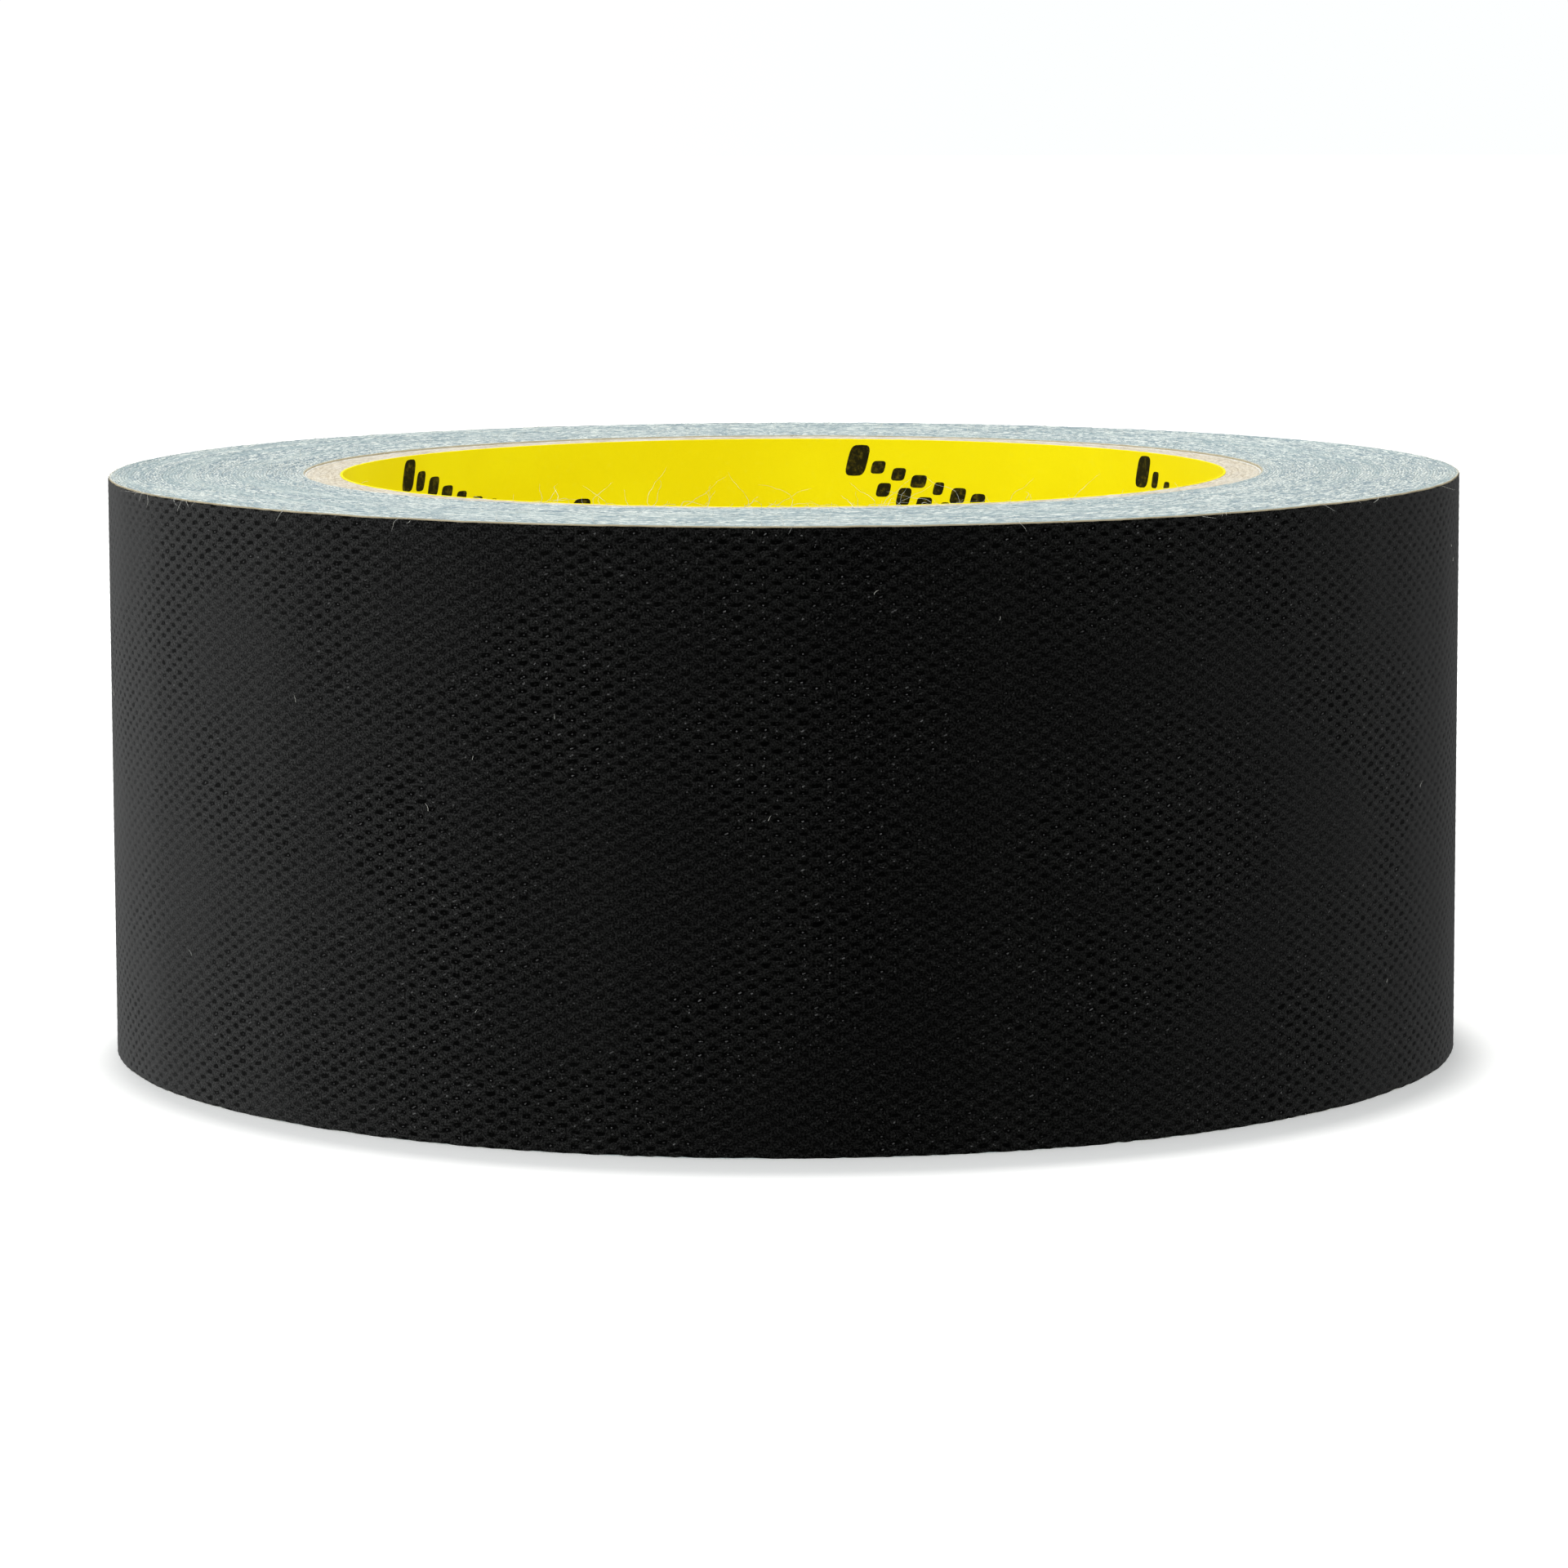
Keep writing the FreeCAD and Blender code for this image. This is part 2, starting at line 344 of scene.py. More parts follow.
def cut_edge_material():
    """The cut edges of many turns: pale frayed cloth with thin gray lines of film between."""
    shader = Shader("cut_edge")
    turn = shader.add("Attribute", attribute_name="turn")
    split = shader.add("SeparateXYZ", {0: turn.outputs["Vector"]})
    middle, at_end = split.outputs[0], split.outputs[1]
    fibres = shader.clouds(shader.round_axis(70, 6500), 1.0, 4.0, 0.75)
    strands = shader.clouds(shader.round_axis(20, 2600), 1.0, 3.0, 0.6)
    rings = shader.clouds(shader.round_axis(0.7, 1400), 1.0, 3.0, 0.6)
    blotches = shader.clouds(shader.round_axis(3, 420), 1.0, 3.0)

    line = shader.spread(middle, 0.05, 0.5, 1.0, 0.0)
    covered = shader.spread(strands, 0.38, 0.62, 1.0, 0.25)
    shadowed, lit = (0.23, 0.30, 0.33, 1.0), (0.79, 0.83, 0.78, 1.0)
    colour = shader.mix(shader.spread(fibres, 0.42, 0.58), shadowed, lit)
    colour = shader.mix(shader.spread(strands, 0.45, 0.66, 0.0, 0.75), colour, (0.18, 0.25, 0.30, 1.0))
    colour = shader.mix(shader.spread(rings, 0.44, 0.6, 0.0, 0.5), colour, (0.32, 0.41, 0.42, 1.0))
    colour = shader.mix(shader.spread(blotches, 0.5, 0.72, 0.0, 0.35), colour, (0.72, 0.76, 0.71, 1.0))
    dark = shader.calculate("MULTIPLY", shader.calculate("MULTIPLY", line, covered), 0.55)
    colour = shader.mix(dark, colour, (0.09, 0.11, 0.11, 1.0))
    colour = shader.mix(shader.calculate("MULTIPLY", at_end, 0.8), colour, (0.56, 0.46, 0.28, 1.0))
    height = shader.calculate("ADD", fibres, shader.calculate("MULTIPLY", strands, 1.5))
    shader.set(
        BaseColor=colour,
        Roughness=shader.spread(fibres, 0.2, 0.8, 0.95, 0.75),
        Normal=shader.bump(height, 0.05 * MM),
        SpecularIORLevel=0.2,
    )
    return shader.material


def cloth_material():
    """Off-white cotton cloth, as it shows along the tail's edges."""
    shader = Shader("cloth")
    weave = shader.add("Attribute", attribute_name="weave").outputs["Vector"]
    fuzz = shader.clouds(weave, 3.0, 4.0, 0.7)
    yarns = shader.clouds(weave, 0.6, 2.0)
    colour = shader.mix(shader.spread(fuzz, 0.3, 0.7), (0.45, 0.48, 0.47, 1.0), (0.80, 0.81, 0.77, 1.0))
    colour = shader.mix(shader.spread(yarns, 0.5, 0.8, 0.0, 0.4), colour, (0.52, 0.50, 0.42, 1.0))
    shader.set(
        BaseColor=colour,
        Roughness=0.9,
        Normal=shader.bump(fuzz, 0.03 * MM),
        SpecularIORLevel=0.2,
    )
    return shader.material


def adhesive_material():
    """Tacky rubber adhesive, gray-white, with the weave of the cloth showing through."""
    shader = Shader("adhesive")
    weave = shader.add("Attribute", attribute_name="weave")
    split = shader.add("SeparateXYZ", {0: weave.outputs["Vector"]})
    weft = shader.calculate("SINE", shader.calculate("MULTIPLY", split.outputs[0], FULL))
    warp = shader.calculate("COSINE", shader.calculate("MULTIPLY", split.outputs[1], FULL))
    threads = shader.calculate("ADD", weft, warp)
    smear = shader.clouds(weave.outputs["Vector"], 0.12, 4.0, 0.6)
    between, over = (0.42, 0.41, 0.37, 1.0), (0.64, 0.63, 0.58, 1.0)
    colour = shader.mix(shader.spread(threads, -1.6, 1.6), between, over)
    colour = shader.mix(shader.spread(smear, 0.35, 0.7, 0.0, 0.5), colour, (0.70, 0.69, 0.64, 1.0))
    shader.set(
        BaseColor=colour,
        Roughness=shader.spread(smear, 0.3, 0.7, 0.3, 0.55),
        Normal=shader.bump(threads, 0.02 * MM),
        CoatWeight=0.25,
        CoatRoughness=0.25,
    )
    return shader.material


def board_material():
    """Gray-beige paperboard with long fibres and a few dark flecks."""
    shader = Shader("board")
    fibres = shader.clouds(shader.round_axis(40, 5000, 1500), 1.0, 4.0, 0.65)
    blotches = shader.clouds(shader.round_axis(6, 700, 200), 1.0, 3.0)
    flecks = shader.specks(shader.round_axis(70, 4000, 1800), 1.0, 0.16)
    colour = shader.mix(shader.spread(fibres, 0.3, 0.7), (0.42, 0.36, 0.27, 1.0), (0.74, 0.68, 0.55, 1.0))
    colour = shader.mix(shader.spread(blotches, 0.4, 0.7, 0.0, 0.5), colour, (0.68, 0.65, 0.58, 1.0))
    colour = shader.mix(shader.calculate("MULTIPLY", flecks, 0.5), colour, (0.22, 0.17, 0.11, 1.0))
    shader.set(
        BaseColor=colour,
        Roughness=0.92,
        Normal=shader.bump(fibres, 0.06 * MM),
        SpecularIORLevel=0.2,
    )
    return shader.material


def wrap_material():
    """The white paper round the core, seen only as a thin edge."""
    shader = Shader("wrap_paper")
    fibres = shader.clouds(shader.round_axis(50, 5000, 1500), 1.0, 4.0, 0.6)
    colour = shader.mix(shader.spread(fibres, 0.3, 0.7), (0.58, 0.57, 0.52, 1.0), (0.84, 0.83, 0.78, 1.0))
    shader.set(
        BaseColor=colour,
        Roughness=0.88,
        Normal=shader.bump(fibres, 0.03 * MM),
        SpecularIORLevel=0.25,
    )
    return shader.material


def liner_material():
    """Yellow printed paper, a little glossy, with a faint seam that climbs round the hole."""
    shader = Shader("liner_paper")
    fibres = shader.clouds(shader.round_axis(60, 3000, 1600), 1.0, 4.0, 0.6)
    clouding = shader.clouds(shader.round_axis(3, 0, 90), 1.0, 3.0)
    x, y, z = shader.position()
    turn = shader.calculate("DIVIDE", shader.calculate("ARCTAN2", y, x), FULL)
    climb = shader.calculate("DIVIDE", z, LINER_SEAM_LEAD)
    share = shader.calculate("FRACT", shader.calculate("SUBTRACT", climb, turn))
    distance = shader.calculate("ABSOLUTE", shader.calculate("SUBTRACT", share, 0.5))
    seam = shader.spread(distance, 0.0, 0.0035, 1.0, 0.0)
    deep, bright = (0.94, 0.81, 0.0, 1.0), (0.98, 0.87, 0.001, 1.0)
    colour = shader.mix(shader.spread(clouding, 0.3, 0.7), deep, bright)
    colour = shader.mix(shader.spread(fibres, 0.55, 0.85, 0.0, 0.25), colour, (0.94, 0.87, 0.06, 1.0))
    colour = shader.mix(shader.calculate("MULTIPLY", seam, 0.35), colour, (0.60, 0.42, 0.01, 1.0))
    height = shader.calculate("SUBTRACT", fibres, shader.calculate("MULTIPLY", seam, 2.0))
    shader.set(
        BaseColor=colour,
        Roughness=shader.spread(clouding, 0.3, 0.7, 0.5, 0.65),
        Normal=shader.bump(height, 0.02 * MM),
        SpecularIORLevel=0.1,
    )
    return shader.material


def ink_material():
    """Black printing ink that lets a little of the yellow paper through."""
    shader = Shader("ink")
    cover = shader.clouds(shader.round_axis(70, 0, 1900), 1.0, 4.0, 0.7)
    full, thin = (0.014, 0.013, 0.003, 1.0), (0.15, 0.12, 0.005, 1.0)
    shader.set(
        BaseColor=shader.mix(shader.spread(cover, 0.45, 0.8), full, thin),
        Roughness=0.7,
        SpecularIORLevel=0.1,
    )
    return shader.material


def thread_material():
    """Frayed cotton, pale cream with grayer stretches."""
    shader = Shader("frayed_cotton")
    place_node = shader.add("TexCoord").outputs["Object"]
    tone = shader.clouds(place_node, 700, 2.0)
    colour = shader.mix(shader.spread(tone, 0.35, 0.65), (0.52, 0.53, 0.50, 1.0), (0.88, 0.87, 0.78, 1.0))
    shader.set(
        BaseColor=colour,
        Roughness=0.8,
        SheenWeight=0.3,
        SpecularIORLevel=0.3,
    )
    return shader.material


# ---- the tape ----


def strip_piece(name, start, columns, out, back, back_rows, materials):
    """A closed length of some layers of the tape, which starts at a tape angle.

    out and back are the depths of its two surfaces under the film's outer surface. The
    weave's relief is on both. back_rows says where across the width the back has vertices.
    The film has shrunk a little, so the cloth stands out beyond its upper edge.
    """
    shrink = FILM_SHRINKAGE if out == 0 else 0.0
    vertices, weave = [], []
    rows = range(ROWS + 1)
    for column in range(columns + 1):
        angle = start + column * COLUMN
        wefts = (angle - TAIL_ROOT) / WEFT
        radius = film_radius(angle)
        low = BOTTOM + ragged_foot(angle)
        high = TOP - edge_drop(angle, 1.0) - shrink
        fade = 0.75 + 0.25 * wander(angle * 9, 4.0)
        for depth, chosen in ((out, rows), (back, back_rows)):
            for row in chosen:
                warps = row / ROWS * WARPS
                relief = RELIEF * fade * math.sin(math.pi * wefts) * math.cos(math.pi * warps)
                height = low + (high - low) * row / ROWS
                vertices.append(place(radius - depth + relief, angle, height))
                weave.append((wefts, warps, 0.0))
    piece = new_piece(name, vertices, strip_faces(columns, len(rows), len(back_rows)), materials)
    set_attribute(piece, "weave", weave)
    if len(materials) > 1:
        paint_back(piece, columns, len(rows), len(back_rows))
    return piece


def strip_faces(columns, rows, back_rows):
    """The faces of a closed strip: outer surface, back, the two rims and the two ends."""
    each = rows + back_rows
    faces = []
    for column in range(columns):
        here, there = column * each, (column + 1) * each
        for row in range(rows - 1):
            faces.append((here + row, there + row, there + row + 1, here + row + 1))
        for row in range(rows, each - 1):
            faces.append((here + row, here + row + 1, there + row + 1, there + row))
        faces.append((here + rows - 1, there + rows - 1, there + each - 1, here + each - 1))
        faces.append((here, here + rows, there + rows, there))
    loop = [*range(rows), *range(each - 1, rows - 1, -1)]
    last = columns * each
    faces.append(tuple(loop))
    faces.append(tuple(last + index for index in reversed(loop)))
    return faces


def paint_back(piece, columns, rows, back_rows):
    """Give the back of a strip its first material, and all other faces its second."""
    per_column = rows + back_rows
    for number, polygon in enumerate(piece.data.polygons):
        row = number % per_column
        is_back = number < columns * per_column and rows - 1 <= row < rows + back_rows - 2
        polygon.material_index = 0 if is_back else 1


def make_outer_film(film):
    """The film on the last turn, in lengths, the first of them at the tail's root.

    They stop a little short of a full turn, under the tail.
    """
    left = round(FULL / COLUMN) - FILM_GAP_COLUMNS
    longest = -(-left // FILM_LENGTHS)
    end = TAIL_ROOT
    for number in range(1, FILM_LENGTHS + 1):
        columns = min(longest, left)
        end -= columns * COLUMN
        left -= columns
        piece = strip_piece(f"outer_film_{number}", end, columns, 0.0, FILM, (0, ROWS), [film])
        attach(piece, "roll")
        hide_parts("outer_turn_film")


def bend_over_hinge(piece):
    """Bake a piece of the tail's transform into its mesh."""
    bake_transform(piece)


def make_tail(film, cloth, adhesive):
    """The loose end, in lengths that each lie over one hinge, and the last one's free end."""
    per_segment = 2 * WEFTS_PER_SEGMENT
    all_rows = range(ROWS + 1)
    backing = [adhesive, cloth]
    for number in range(1, len(HINGES) + 1):
        start = HINGES[number - 1] - SEGMENT / 2
        top = strip_piece(f"tail_film_{number}", start, per_segment, 0.0, FILM, all_rows, [film])
        under = strip_piece(f"tail_backing_{number}", start, per_segment, FILM, TAPE, all_rows, backing)
        bend_over_hinge(top)
        bend_over_hinge(under)
        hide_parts(f"tail_{number}_film")
        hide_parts(f"tail_{number}_cloth", f"tail_{number}_adhesive")
    start = TAIL_END - SEGMENT / 2
    top = strip_piece("tail_film_end", start, per_segment // 2, 0.0, FILM, all_rows, [film])
    under = strip_piece("tail_backing_end", start, per_segment // 2, FILM, TAPE, all_rows, backing)
    for piece, slot in ((top, "tape_film"), (under, "tape_cloth")):
        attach(piece, f"tail_{len(HINGES)}")


def make_wound_roll(cut_edge):
    """All the tape under the outer film, as one spiral whose turns show on both faces.

    Each turn has a line of vertices in the groove along its film and one on the crest of
    its cloth. Vertices go inwards from the tail's root, so the next turn's are a circle on.
    """
    circle = TURN_STEPS
    last = TURNS * circle
    grooves, crests = [], []
    for step in range(last + 1):
        angle = TAIL_ROOT - step * FULL / circle
        inset = FILM if step <= circle else FILM / 2
        radius = CORE_RADIUS if step > last - circle else film_radius(angle) - inset
        grooves.append((radius, angle))
    for step in range(last - circle + 1):
        middle = (grooves[step][0] + grooves[step + circle][0]) / 2
        crests.append((middle, grooves[step][1]))

    vertices, turn = [], []
    for seed, level, side in ((1.0, TOP, -1), (2.0, BOTTOM, 1)):
        for line, share, extra in ((grooves, 0.0, GROOVE_DEPTH), (crests, 1.0, 0.0)):
            for step, (radius, angle) in enumerate(line):
                outermost = line is grooves and step <= circle
                innermost = line is grooves and step >= last - circle
                drop = edge_drop(angle, seed) + (0.0 if outermost else extra)
                vertices.append(place(radius, angle, level + side * drop))
                turn.append((1.0 if innermost else share, float(outermost or innermost), 0.0))
    faces = spiral_faces(circle, last)
    piece = new_piece("wound_roll", vertices, faces, [cut_edge])
    set_attribute(piece, "turn", turn)
    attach(piece, "roll")
    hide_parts("wound_tape", "outer_turn_cloth", "outer_turn_adhesive")


def spiral_faces(circle, last):
    """The faces of the wound roll: top, underside, outer and inner walls, and two steps."""
    crest = last + 1
    under = crest + last - circle + 1
    faces = []
    for step in range(last - circle):
        outer = (step, crest + step, crest + step + 1, step + 1)
        inner = (crest + step, step + circle, step + circle + 1, crest + step + 1)
        for face in (outer, inner):
            faces.append(face)
            faces.append(tuple(under + index for index in reversed(face)))
    for step in range(circle):
        faces.append((step, step + 1, under + step + 1, under + step))
    for step in range(last - circle, last):
        faces.append((step + 1, step, under + step, under + step + 1))
    outer_step = (0, crest, circle)
    inner_step = (last - circle, crest + last - circle, last)
    faces.append(tuple(under + index for index in outer_step) + outer_step[::-1])
    faces.append(inner_step + tuple(under + index for index in inner_step[::-1]))
    return faces


# ---- the core ----

CORE_COLUMNS = 720
NOTCH_DEPTH = 0.35 * MM
NOTCH_HALF_WIDTHS = (0.1 * MM, 0.35 * MM)
FIRST_SEAM = 0.6


def ring_piece(name, inner, outer, material, seed, wear, seam=None):
    """A tube as long as the core, its ends softened, uneven, and notched where a seam ends."""
    columns = CORE_COLUMNS
    width = outer - inner
    section = ((0.0, 1.0), (0.12, 0.35), (0.5, 0.0), (0.88, 0.35), (1.0, 1.0))
    vertices = []
    for column in range(columns):
        angle = column * FULL / columns
        for level, side, points in ((CORE_TOP, -1, section), (CORE_BOTTOM, 1, section[::-1])):
            ragged = 0.5 + 0.5 * wander(angle * 30, seed + side) + 0.3 * wander(angle * 120, seed - side)
            notch = 0.0
            if seam is not None:
                away = math.remainder(angle - seam, FULL) * outer
                notch = NOTCH_DEPTH * (1 - smooth_step(*NOTCH_HALF_WIDTHS, abs(away)))
            for share, round_off in points:
                drop = wear * (max(0.0, ragged) + round_off) + notch
                vertices.append(place(inner + width * share, angle, level + side * drop))
    each = 2 * len(section)
    faces = [
        (
            column * each + point,
            column * each + (point + 1) % each,
            (column + 1) % columns * each + (point + 1) % each,
            (column + 1) % columns * each + point,
        )
        for column in range(columns)
        for point in range(each)
    ]
    return new_piece(name, vertices, faces, [material])


def make_core(liner_paper, board, wrap_paper):
    """Liner, plies and wrap. Each ply starts where the one inside it ends."""
    plies = sum(node.startswith("core_ply_") for node in frame["nodes"])
    edges = [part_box("core_liner")[1].x]
    edges += [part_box(f"core_ply_{number}")[1].x for number in range(1, plies + 1)]
    liner = ring_piece("yellow_liner", BORE, edges[0], liner_paper, 20.0, 0.03 * MM)
    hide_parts("core_liner")
    pieces = [liner]
    for number in range(1, plies + 1):
        seam = number * FULL / plies + FIRST_SEAM
        ply = ring_piece(f"board_ply_{number}", edges[number - 1], edges[number], board,
                         30.0 + 7 * number, 0.07 * MM, seam)
        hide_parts(f"core_ply_{number}")
        pieces.append(ply)
    wrap = ring_piece("core_paper_wrap", edges[-1], CORE_RADIUS, wrap_paper, 80.0, 0.05 * MM)
    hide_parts("core_wrap")
    pieces.append(wrap)
    for piece in pieces:
        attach(piece, "roll")


# ---- print on the liner: a plain pattern of slanted bars, in rows that slope down ----

INK = 0.015 * MM
PRINT_GROUPS = 9
PAIRS_PER_GROUP = 6
PAIR_PITCH = 1.95 * MM
PRINT_SLOPE = 0.32
PRINT_LEAN = 0.25
PRINT_START = 7.0 * MM
PRINT_TOP = CORE_TOP - 2.0 * MM
TALL_BAR = (1.9 * MM, 2.9 * MM)
SHORT_WIDTHS = (1.5, 1.3, 1.0)
SHORT_HEIGHTS = (1.8, 1.5, 1.2)
LOWER_HEIGHTS = (1.7, 1.3)
LOWER_SHIFT = 0.5 * MM
LOWER_DROP = 2.1 * MM
PRINT_MARGIN = 2 * MM
PRINT_ROWS = 3
ROW_PITCH = 15.5 * MM

# how far along and how far down the groups are moved, three in turn
PRINT_STAGGER = ((0.0, 0.0), (5.2 * MM, -0.2 * MM), (0.0, 4.6 * MM))


def ink_bar(vertices, faces, arc, height, width, tall):
    """Add one bar with rounded corners, lying on the liner at a distance round the hole."""
    corners = 20
    rings = (1.0, 0.55)
    first = len(vertices)

    def lay(share, corner, depth):
        turn = FULL * corner / corners
        side = math.copysign(abs(math.cos(turn)) ** 0.5, math.cos(turn)) * share * width / 2
        up = math.copysign(abs(math.sin(turn)) ** 0.5, math.sin(turn)) * share * tall / 2
        angle = math.pi / 2 - (arc + side + PRINT_LEAN * up) / BORE
        vertices.append(place(BORE + depth, angle, height + up))

    for share, depth in ((1.0, INK), *((ring, -INK) for ring in rings)):
        for corner in range(corners):
            lay(share, corner, depth)
    lay(0.0, 0, -INK)
    lay(0.0, 0, INK)
    front, back = len(vertices) - 2, len(vertices) - 1
    for corner in range(corners):
        after = (corner + 1) % corners
        for ring in range(len(rings)):
            low, high = first + ring * corners, first + (ring + 1) * corners
            faces.append((low + corner, low + after, high + after, high + corner))
        inmost = first + len(rings) * corners
        faces.append((inmost + corner, inmost + after, front))
        faces.append((first + after, first + corner, back))


def make_liner_print(ink):
    """Groups of a tall bar and pairs of short bars, which slope down, in rows round the hole."""
    draw = random.Random(11)
    vertices, faces = [], []
    spacing = FULL * BORE / PRINT_GROUPS
    for row in range(PRINT_ROWS):
        for group in range(PRINT_GROUPS):
            shift, lower = PRINT_STAGGER[group % len(PRINT_STAGGER)]
            start = PRINT_START + shift + spacing * (group + 0.5 * row)
            top = PRINT_TOP - lower - ROW_PITCH * row
            bars = [(start, top, *TALL_BAR)]
            for pair in range(1, PAIRS_PER_GROUP + 1):
                arc = start + pair * PAIR_PITCH
                height = top - pair * PAIR_PITCH * PRINT_SLOPE
                width = draw.choice(SHORT_WIDTHS) * MM
                tall = draw.choice(SHORT_HEIGHTS) * MM
                bars.append((arc, height, width, tall))
                lower_tall = draw.choice(LOWER_HEIGHTS) * MM
                bars.append((arc + LOWER_SHIFT, height - LOWER_DROP, width, lower_tall))
            for arc, height, width, tall in bars:
                if CORE_BOTTOM + PRINT_MARGIN < height:
                    ink_bar(vertices, faces, arc, height, width, tall)
    piece = new_piece("liner_print", vertices, faces, [ink])
    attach(piece, "roll")


# ---- frayed threads and lint ----

THREAD = 0.03 * MM
FUZZ_THREADS = 900
RIM_THREADS = 420
LONG_THREADS = 170
LINT_THREADS = 14
ROOT_DEPTH = 0.12 * MM
LONG_ROOT_DEPTH = 0.15 * MM


def thread(vertices, faces, root, heading, length, curl, draw, droop=0.0):
    """Add one thin tapered thread that wanders from its root and ends in a point.

    droop is how much of its climb it loses at each step.
    """
    steps, sides = 10, 4
    point = Vector(root)
    bend = Vector([draw.uniform(-1, 1) for _ in range(3)]).normalized() * curl
    first = len(vertices)
    for step in range(steps):
        across = heading.orthogonal().normalized()
        other = heading.cross(across).normalized()
        radius = THREAD / 2 * (1 - 0.7 * step / steps)
        for side in range(sides):
            turn = FULL * side / sides
            vertices.append(point + radius * (across * math.cos(turn) + other * math.sin(turn)))
        point = point + heading * length / steps
        nudge = Vector([draw.uniform(-1, 1) for _ in range(3)]) * curl * 0.6
        heading = heading + (bend + nudge) * 0.5
        heading.z *= 1 - droop
        heading.normalize()
    vertices.append(point)
    tip = len(vertices) - 1
    for step in range(steps - 1):
        here, there = first + step * sides, first + (step + 1) * sides
        for side in range(sides):
            after = (side + 1) % sides
            faces.append((here + side, here + after, there + after, there + side))
    end = first + (steps - 1) * sides
    for side in range(sides):
        faces.append((end + side, end + (side + 1) % sides, tip))
    faces.append(tuple(first + side for side in reversed(range(sides))))


def make_fraying(cotton):
    """Short fuzz all over the upper face and more at its rim, and some long threads.

    Three in four of the long threads are by the hole, and half are at the front.
    """
    draw = random.Random(5)
    vertices, faces = [], []
    for _ in range(FUZZ_THREADS):
        angle = draw.uniform(0, FULL)
        radius = draw.uniform(CORE_RADIUS, LAST_RADIUS - TAPE)
        along = place(1, angle + math.pi / 2 * draw.choice((-1, 1)), 0)
        heading = (along + Vector((0, 0, draw.uniform(0.1, 0.7)))).normalized()
        root = place(radius, angle, TOP - ROOT_DEPTH)
        thread(vertices, faces, root, heading, draw.uniform(0.5, 1.4) * MM, 0.5, draw)
    for _ in range(RIM_THREADS):
        angle = draw.uniform(0, FULL)
        tape_angle = angle if angle < TAIL_END else angle - FULL
        radius = film_radius(tape_angle) - draw.uniform(0.1, 1.5) * TAPE
        heading = place(draw.uniform(-1, 1), angle + draw.uniform(-1.5, 1.5), draw.uniform(-0.1, 0.7))
        root = place(radius, angle, TOP - ROOT_DEPTH)
        length = draw.choice((0.4, 0.7, 1.6)) * draw.uniform(0.7, 1.3) * MM
        thread(vertices, faces, root, heading.normalized(), length, 1.1, draw)
    for number in range(LONG_THREADS):
        by_hole = number % 4 > 0
        front = -math.pi / 2 + draw.uniform(-0.5, 0.5)
        angle = front if number % 2 else draw.uniform(0, FULL)
        radius = CORE_RADIUS + 0.5 * MM if by_hole else LAST_RADIUS - 2 * TAPE
        outwards = place(draw.uniform(-1.2, 1.2), angle + draw.uniform(-1.5, 1.5), 0)
        heading = (outwards + Vector((0, 0, draw.uniform(0.0, 0.6)))).normalized()
        root = place(radius, angle, TOP - LONG_ROOT_DEPTH)
        droop = draw.choice((0.0, 0.3, 0.6))
        thread(vertices, faces, root, heading, draw.uniform(1.5, 5.0) * MM, 1.9, draw, droop)
    piece = new_piece("frayed_threads", vertices, faces, [cotton])
    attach(piece, "roll")


def make_lint(cotton):
    """A few specks of lint that cling to the film."""
    draw = random.Random(23)
    vertices, faces = [], []
    for _ in range(LINT_THREADS):
        angle = draw.uniform(-math.pi, 0)
        root = place(film_radius(angle) + 0.02 * MM, angle, draw.uniform(0.1, 0.9) * TOP)
        around = place(1, angle + math.pi / 2, 0)
        heading = (around * draw.uniform(-0.6, 0.6) + Vector((0, 0, 1))).normalized()
        thread(vertices, faces, root, heading, draw.uniform(0.3, 0.9) * MM, 0.25, draw)
    piece = new_piece("lint", vertices, faces, [cotton])
    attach(piece, "roll")


# ---- studio ----

CAMERA_SPOT = (0, -0.53339, 0.09067)
CAMERA_PITCH = 0.12759
CAMERA_ROLL = -0.00325
CAMERA_LENS = 140.9
LAMP_SPOT = Vector((-0.04, 0.55, 4.0))
LAMP_SIZE = 0.4
LAMP_WATTS = 62
FLOOR_RADIUS = 3.0
FLOOR_COLUMNS = 96
WINDOW_ANGLE = math.radians(194)
PANEL_ANGLE = math.radians(-118)


def make_camera():
    """A long lens a little above the roll's top, in front of it."""
    data = bpy.data.cameras.new("camera")
    data.sensor_width = 36
    data.lens = CAMERA_LENS
    data.clip_start = 0.01
    data.clip_end = 20
    camera = bpy.data.objects.new("camera", data)
    bpy.context.scene.collection.objects.link(camera)
    camera.matrix_world = (
        Matrix.Translation(CAMERA_SPOT)
        @ Matrix.Rotation(math.pi / 2 - CAMERA_PITCH, 4, "X")
        @ Matrix.Rotation(CAMERA_ROLL, 4, "Z")
    )
    bpy.context.scene.camera = camera


def make_floor():
    """A large pale disc that only the camera and its own shading see."""
    step = FULL / FLOOR_COLUMNS
    vertices = [place(FLOOR_RADIUS, step * column, 0.0) for column in range(FLOOR_COLUMNS)]
    shader = Shader("floor")
    tone = shader.clouds(shader.add("TexCoord").outputs["Object"], 3.0)
    shader.set(
        BaseColor=shader.mix(tone, (1.08, 1.08, 1.07, 1.0), (1.12, 1.12, 1.12, 1.0)),
        Roughness=1.0,
        SpecularIORLevel=0.0,
    )
    floor = new_piece("floor", vertices, [tuple(range(FLOOR_COLUMNS))], [shader.material])
    floor.visible_glossy = False
    floor.visible_diffuse = False


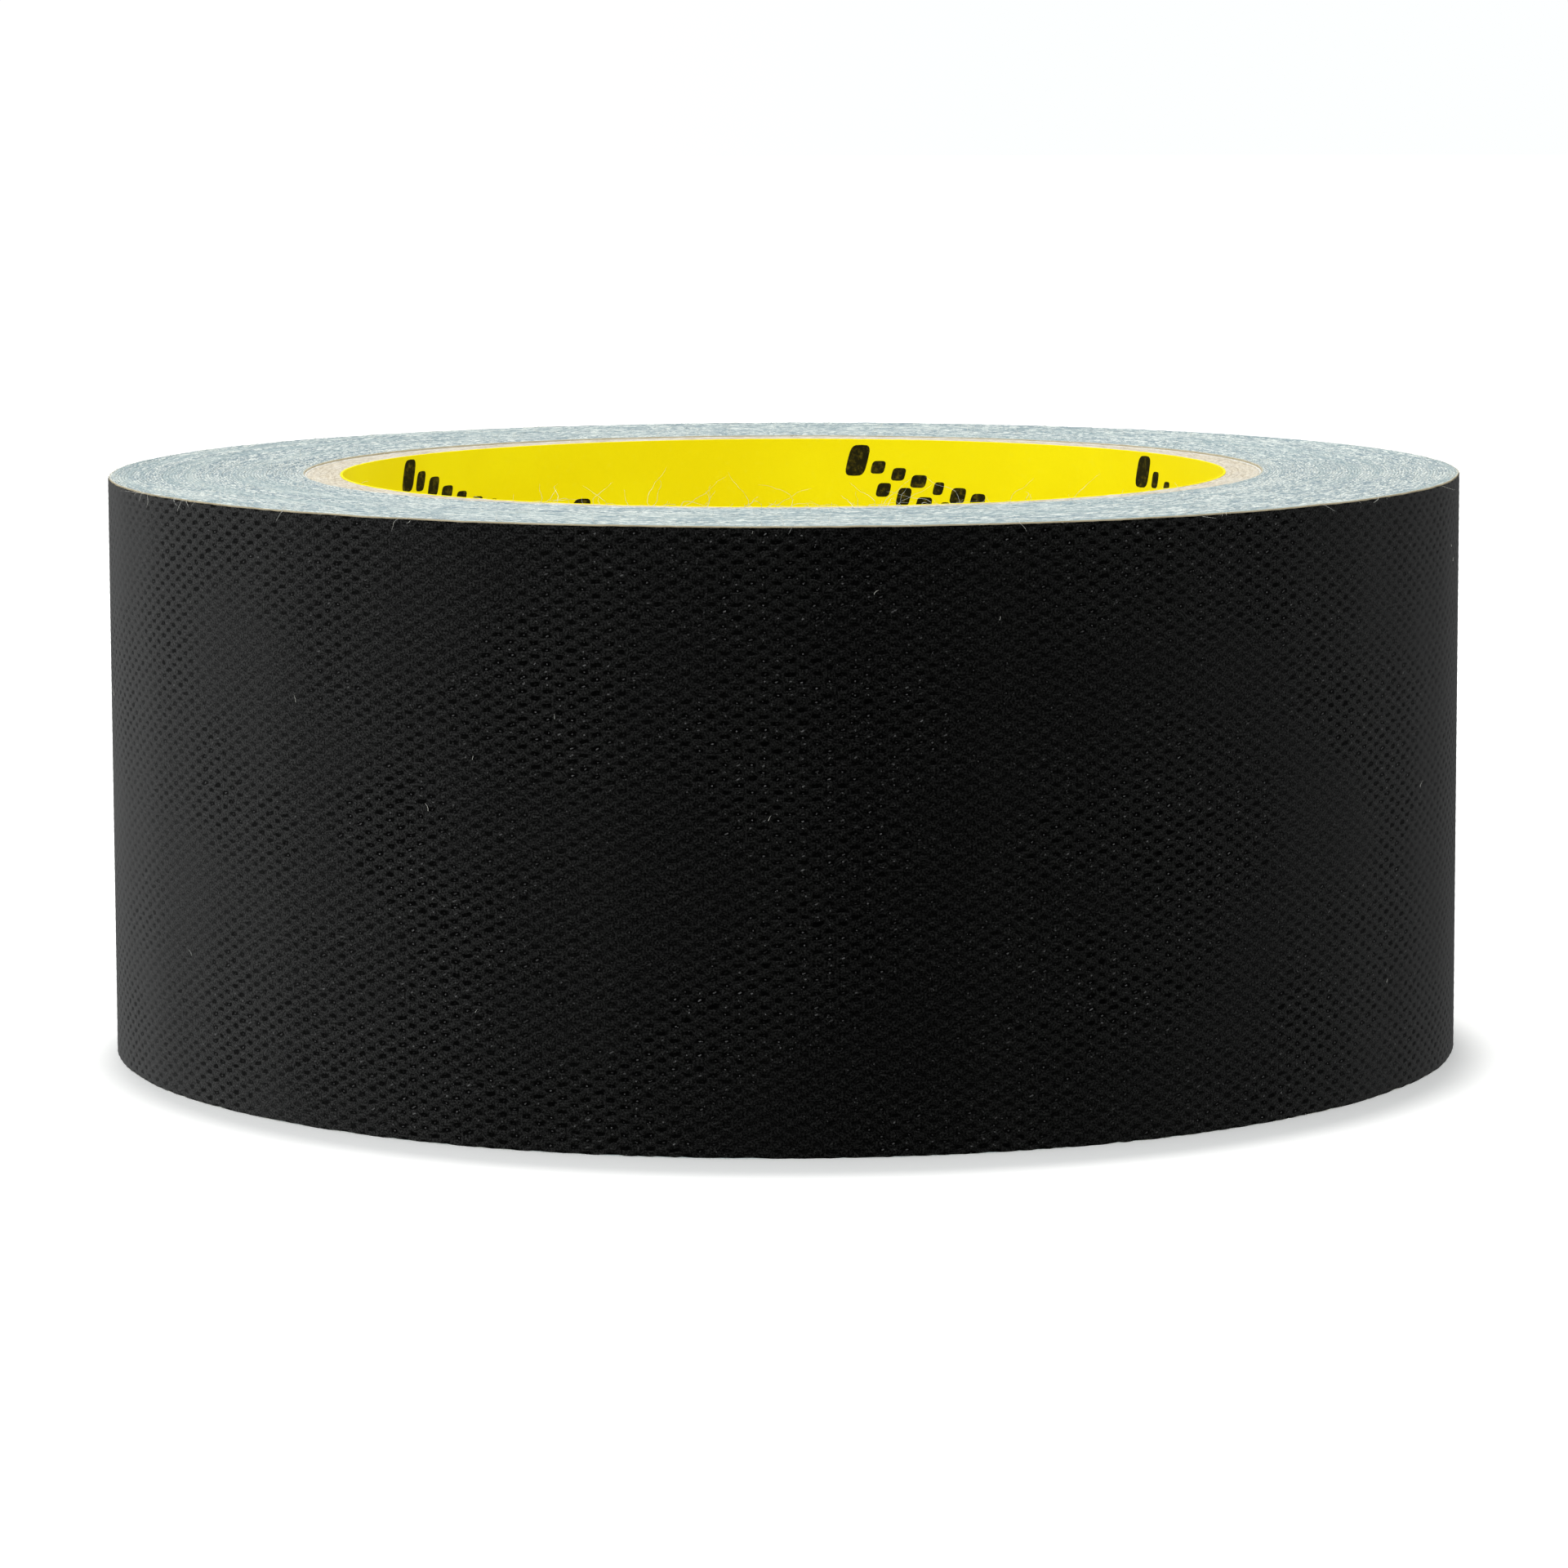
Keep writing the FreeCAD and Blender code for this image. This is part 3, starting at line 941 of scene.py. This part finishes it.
def gloss_of_room(nodes, direction, y, z):
    """What gloss reflects: a room with a window on the left, a panel in front and a ceiling."""

    def facing(angle):
        return nodes.add("VectorMath", {0: direction, 1: place(1, angle, 0)}, operation="DOT_PRODUCT")

    room = nodes.spread(facing(WINDOW_ANGLE).outputs["Value"], -0.45, 1.0, 0.21, 0.55)
    shade = nodes.spread(nodes.calculate("MULTIPLY", y, -1.0), -0.1, 1.0, 1.0, 0.1)
    panel = nodes.spread(facing(PANEL_ANGLE).outputs["Value"], 0.84, 1.0, 0.0, 0.11)
    gloss = nodes.calculate("ADD", nodes.calculate("MULTIPLY", room, shade), panel)
    over_floor = nodes.spread(z, -0.7, -0.2, 0.0, 1.0)
    ceiling = nodes.spread(z, 0.45, 0.95, 0.0, 0.9)
    return nodes.calculate("ADD", nodes.calculate("MULTIPLY", gloss, over_floor), ceiling)


def make_world():
    """White to the camera, even light on surfaces, and for gloss a room brighter on one side."""
    world = bpy.data.worlds.new("studio")
    world.use_nodes = True
    world.cycles.sampling_method = "NONE"
    nodes = Nodes(world.node_tree)
    direction = nodes.add("TexCoord").outputs["Generated"]
    split = nodes.add("SeparateXYZ", {0: direction})
    x, y, z = split.outputs[0], split.outputs[1], split.outputs[2]
    gloss = gloss_of_room(nodes, direction, y, z)
    even = nodes.spread(x, -1.0, 1.0, 1.22, 0.8)
    ray = nodes.add("LightPath")
    is_glossy = ray.outputs["Is Glossy Ray"]
    others = nodes.calculate("MULTIPLY", nodes.calculate("SUBTRACT", 1.0, is_glossy), even)
    lit = nodes.calculate("ADD", others, nodes.calculate("MULTIPLY", is_glossy, gloss))
    background = world.node_tree.nodes["Background"]
    nodes.put(background.inputs["Strength"], nodes.calculate("MAXIMUM", ray.outputs["Is Camera Ray"], lit))
    nodes.put(background.inputs["Color"], (0.985, 1.0, 1.0, 1.0))
    bpy.context.scene.world = world


def make_light():
    """One soft lamp high overhead, a little behind the roll."""
    data = bpy.data.lights.new("soft_lamp", "AREA")
    data.shape = "DISK"
    data.size = LAMP_SIZE
    data.energy = LAMP_WATTS
    data.color = (1.0, 0.99, 0.97)
    lamp = bpy.data.objects.new("soft_lamp", data)
    bpy.context.scene.collection.objects.link(lamp)
    aim = LAMP_SPOT.to_track_quat("Z", "Y").to_matrix().to_4x4()
    lamp.matrix_world = Matrix.Translation(LAMP_SPOT) @ aim


def main():
    film = film_material()
    cotton = thread_material()
    make_camera()
    make_outer_film(film)
    make_tail(film, cloth_material(), adhesive_material())
    make_wound_roll(cut_edge_material())
    make_core(liner_material(), board_material(), wrap_material())
    make_liner_print(ink_material())
    make_fraying(cotton)
    make_lint(cotton)
    make_floor()
    make_world()
    make_light()
    bpy.context.scene.view_settings.view_transform = "Standard"


main()
